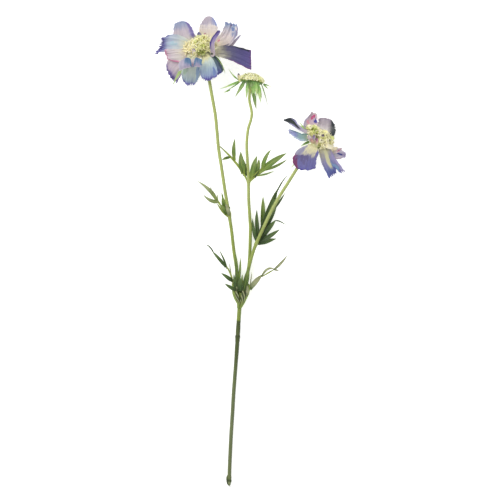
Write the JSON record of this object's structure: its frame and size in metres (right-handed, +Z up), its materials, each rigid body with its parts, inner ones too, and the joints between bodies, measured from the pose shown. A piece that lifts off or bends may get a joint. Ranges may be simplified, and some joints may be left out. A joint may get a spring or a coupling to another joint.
{
  "type": "scabiosa flower",
  "caption": "Cut, branched flower stem lying on its side, with ruffled open blooms round domed centres, a bud in long green bracts, and narrow-lobed leaves.",
  "frame": {"origin": "bottom centre of the plant's box, on the surface that it lies on", "axes": "+Y from the cut end of the stem towards the blooms, +Z up, +X to the side that the second bloom leans to"},
  "size_m": [0.2064, 0.5174, 0.0501],
  "materials": {
    "lower_stem": "satin, dull green with a bloom on it",
    "flower_stalk": "satin, fine lengthwise ribs",
    "leaf_sheath": "satin, striped by veins",
    "leaf": "matt, veined",
    "dark_leaf": "matt, veined",
    "bract": "matt, ribbed",
    "petal": "soft, veined, pale at the foot and violet at the frilled edge",
    "floret": "soft"
  },
  "bodies": {
    "root": {"main_stem": "lower_stem", "stalk_left": "flower_stalk", "stalk_middle": "flower_stalk", "stalk_right": "flower_stalk", "fork_sheath": "leaf_sheath", "leaf_fork_left": "dark_leaf", "leaf_fork_right": "leaf", "leaf_fork_upright": "dark_leaf", "leaf_left_outer": "leaf", "leaf_left_inner": "leaf", "leaf_middle_left": "leaf", "leaf_middle_right": "leaf", "leaf_right_broad": "dark_leaf", "bloom_left_bracts": "bract", "bloom_left_petals": "petal", "bloom_left_florets": "floret", "bloom_right_bracts": "bract", "bloom_right_petals": "petal", "bloom_right_florets": "floret", "bud_bracts": "bract", "bud_florets": "floret", "bud_petal": "petal"}
  },
  "joints": []
}
